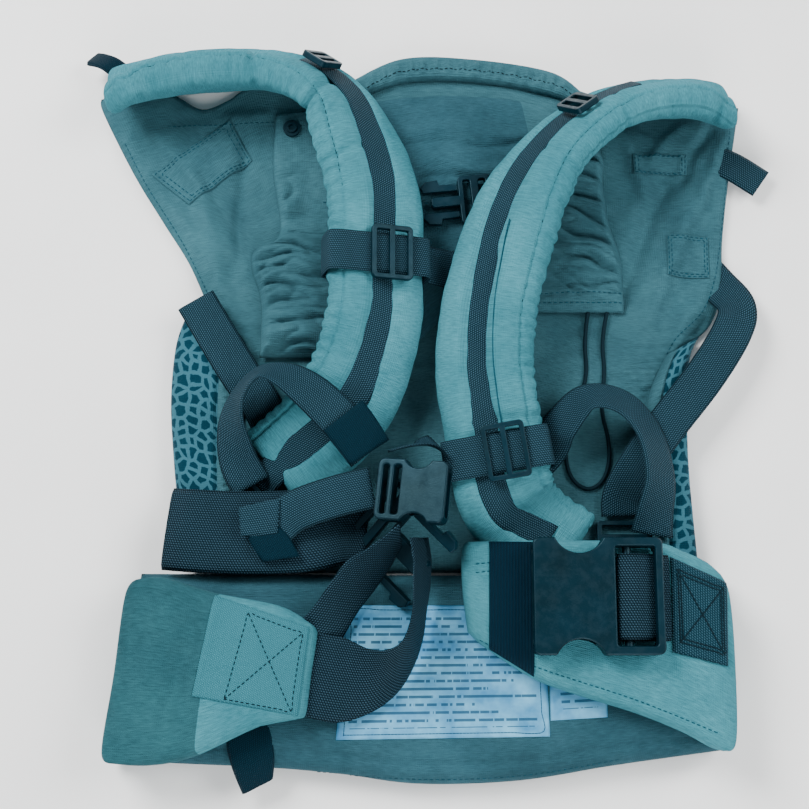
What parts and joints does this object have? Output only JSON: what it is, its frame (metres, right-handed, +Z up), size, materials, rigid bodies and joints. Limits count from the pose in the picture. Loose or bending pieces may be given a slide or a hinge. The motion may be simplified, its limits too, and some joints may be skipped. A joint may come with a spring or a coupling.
{
  "type": "soft baby carrier",
  "caption": "Soft baby carrier in teal canvas lying open, with padded shoulder straps, folded hood, padded waist belt and side release buckles on dark webbing",
  "frame": {"origin": "On the floor plane under the middle of the back panel, on its centre line", "axes": "+Z up from the floor through the folded carrier, +Y towards the shoulder straps, +X towards the side of the waist socket"},
  "size_m": [0.4438, 0.4672, 0.0706],
  "materials": {
    "teal_canvas": "matte",
    "spotted_canvas": "matte",
    "foam_padding": "matte",
    "webbing": "matte",
    "elastic": "matte",
    "dark_plastic": "satin",
    "satin_label": "satin"
  },
  "bodies": {
    "carrier": {"belt_foam": "foam_padding", "belt_lining": "teal_canvas", "belt_outer": "teal_canvas", "care_label": "satin_label", "care_label_small": "satin_label", "corner_tab_left": "webbing", "corner_tab_right": "webbing", "hood": "teal_canvas", "hood_cord": "elastic", "hood_snap": "dark_plastic", "ladder_lock_left": "dark_plastic", "ladder_lock_right": "dark_plastic", "leg_pad_left_cover": "spotted_canvas", "leg_pad_left_foam": "foam_padding", "leg_pad_right_cover": "spotted_canvas", "leg_pad_right_foam": "foam_padding", "panel_lining": "teal_canvas", "panel_neck_roll": "teal_canvas", "panel_outer": "teal_canvas", "panel_wadding": "foam_padding", "side_tail_left": "webbing", "side_tail_right": "webbing", "side_webbing_left": "webbing", "side_webbing_right": "webbing", "strap_adjuster_left": "dark_plastic", "strap_adjuster_right": "dark_plastic", "strap_left_foam": "foam_padding", "strap_left_lining": "teal_canvas", "strap_left_outer": "teal_canvas", "strap_left_webbing": "webbing", "strap_right_foam": "foam_padding", "strap_right_lining": "teal_canvas", "strap_right_outer": "teal_canvas", "strap_right_webbing": "webbing", "waist_male": "dark_plastic", "waist_tail": "webbing", "waist_webbing_left": "webbing"},
    "left_wing": {"wing_left_lining": "teal_canvas", "wing_left_foam": "foam_padding", "wing_left_outer": "teal_canvas"},
    "right_wing": {"wing_right_lining": "teal_canvas", "wing_right_foam": "foam_padding", "wing_right_outer": "teal_canvas", "elastic_keeper": "elastic", "waist_patch_right": "webbing"},
    "waist_socket": {"waist_female": "dark_plastic", "waist_webbing_right": "webbing"},
    "waist_prong_right": {"waist_arm_right": "dark_plastic"},
    "waist_prong_left": {"waist_arm_left": "dark_plastic"},
    "chest_left": {"chest_loop_left": "webbing", "chest_slider_left": "dark_plastic", "chest_webbing_left": "webbing", "chest_male": "dark_plastic"},
    "chest_prong_right": {"chest_arm_right": "dark_plastic"},
    "chest_prong_left": {"chest_arm_left": "dark_plastic"},
    "chest_right": {"chest_loop_right": "webbing", "chest_slider_right": "dark_plastic", "chest_webbing_right": "webbing", "chest_tail_right": "webbing", "chest_female": "dark_plastic"}
  },
  "joints": [
    {"name": "left_wing_fold", "type": "hinge", "parent": "carrier", "child": "left_wing", "pos_m": [-0.1815, -0.157, 0.021], "axis": [-0.1032, -0.9947, 0], "range_deg": [0, 35]},
    {"name": "right_wing_fold", "type": "hinge", "parent": "carrier", "child": "right_wing", "pos_m": [0.1875, -0.14, 0.021], "axis": [0, 1, 0], "range_deg": [0, 140]},
    {"name": "waist_socket_lift", "type": "hinge", "parent": "right_wing", "child": "waist_socket", "pos_m": [0.1462, -0.1155, 0.0437], "axis": [0, 1, 0], "range_deg": [0, 105]},
    {"name": "waist_prong_right_squeeze", "type": "hinge", "parent": "carrier", "child": "waist_prong_right", "pos_m": [-0.02853, -0.09521, 0.02548], "axis": [-0.3916, -0.2028, 0.8975], "range_deg": [0, 5], "stiffness_Nm_per_rad": 0.6},
    {"name": "waist_prong_left_squeeze", "type": "hinge", "parent": "carrier", "child": "waist_prong_left", "pos_m": [-0.00164, -0.06565, 0.04389], "axis": [0.3916, 0.2028, -0.8975], "range_deg": [0, 5], "stiffness_Nm_per_rad": 0.6},
    {"name": "chest_left_slide", "type": "slide", "parent": "carrier", "child": "chest_left", "axis": [0, -1, 0], "range_m": [-0.012, 0.012]},
    {"name": "chest_prong_right_squeeze", "type": "hinge", "parent": "chest_left", "child": "chest_prong_right", "pos_m": [0.02546, 0.14589, 0.01762], "axis": [0.0347, 0.0036, 0.9994], "range_deg": [0, 5], "stiffness_Nm_per_rad": 0.25},
    {"name": "chest_prong_left_squeeze", "type": "hinge", "parent": "chest_left", "child": "chest_prong_left", "pos_m": [0.02734, 0.12799, 0.01762], "axis": [-0.0347, -0.0036, -0.9994], "range_deg": [0, 5], "stiffness_Nm_per_rad": 0.25},
    {"name": "chest_right_slide", "type": "slide", "parent": "carrier", "child": "chest_right", "axis": [0.1642, -0.9852, -0.0493], "range_m": [-0.009, 0.002]}
  ]
}
